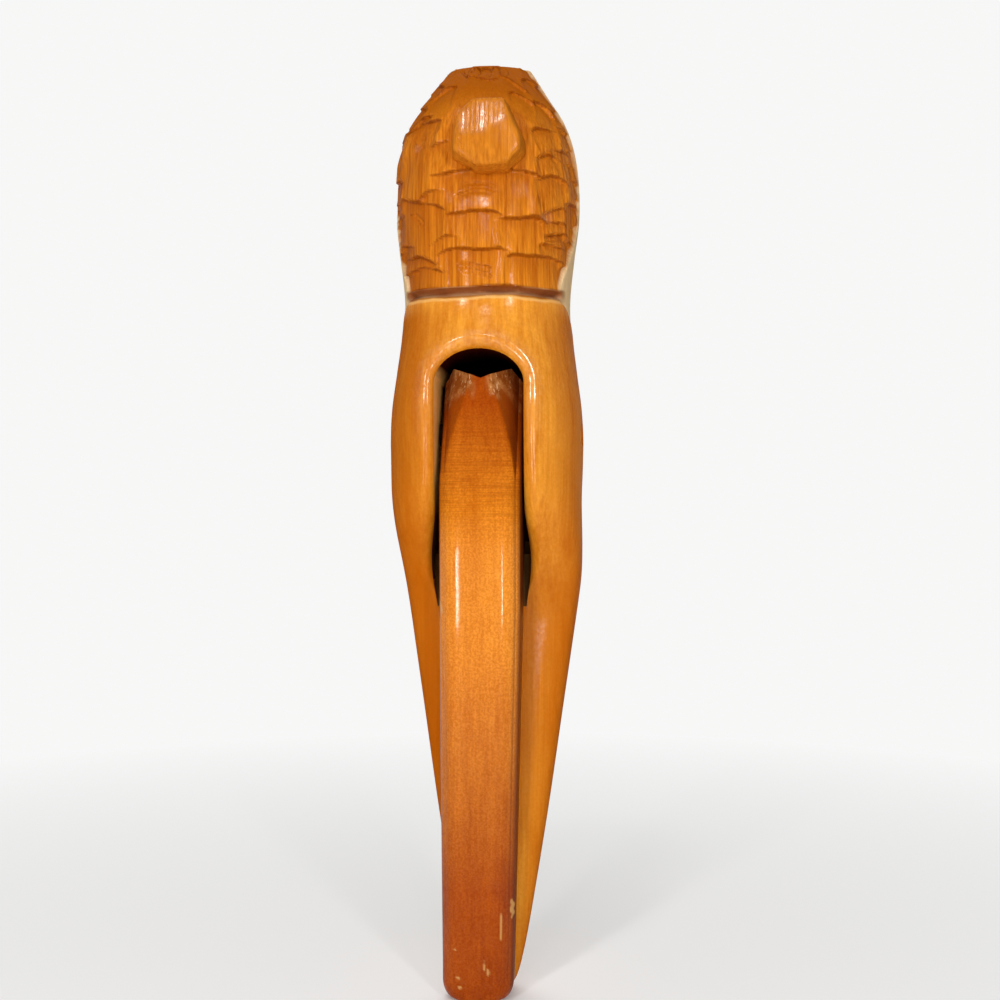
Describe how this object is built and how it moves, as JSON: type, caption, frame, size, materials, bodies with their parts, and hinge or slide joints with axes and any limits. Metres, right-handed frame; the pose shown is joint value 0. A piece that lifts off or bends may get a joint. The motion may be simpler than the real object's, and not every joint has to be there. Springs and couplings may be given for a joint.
{
  "type": "figural nutcracker",
  "caption": "Hand-carved wooden lever nutcracker in the form of a standing figure with a hair bun, whose swinging back lever carries the lower jaw.",
  "frame": {"origin": "centre of the bounding box in plan, at the lowest point, the lever's end", "axes": "+Z towards the crown of the head, +Y out of the figure's back where the lever lies, -Y out of the face, X across the shoulders"},
  "size_m": [0.0524, 0.0609, 0.25],
  "materials": {
    "varnished_wood": "honey varnish over carved wood, with red-brown stained hair and a paler bare face",
    "lever_wood": "deep amber varnish",
    "dowel_wood": "stained dowel end grain"
  },
  "bodies": {
    "figure": {"body": "varnished_wood", "pivot_pin": "dowel_wood"},
    "lever": {"jaw_lever": "lever_wood"}
  },
  "joints": [
    {"name": "jaw_hinge", "type": "hinge", "parent": "figure", "child": "lever", "pos_m": [0, 0.004, 0.15], "axis": [1, 0, 0], "range_deg": [0, 40]}
  ]
}
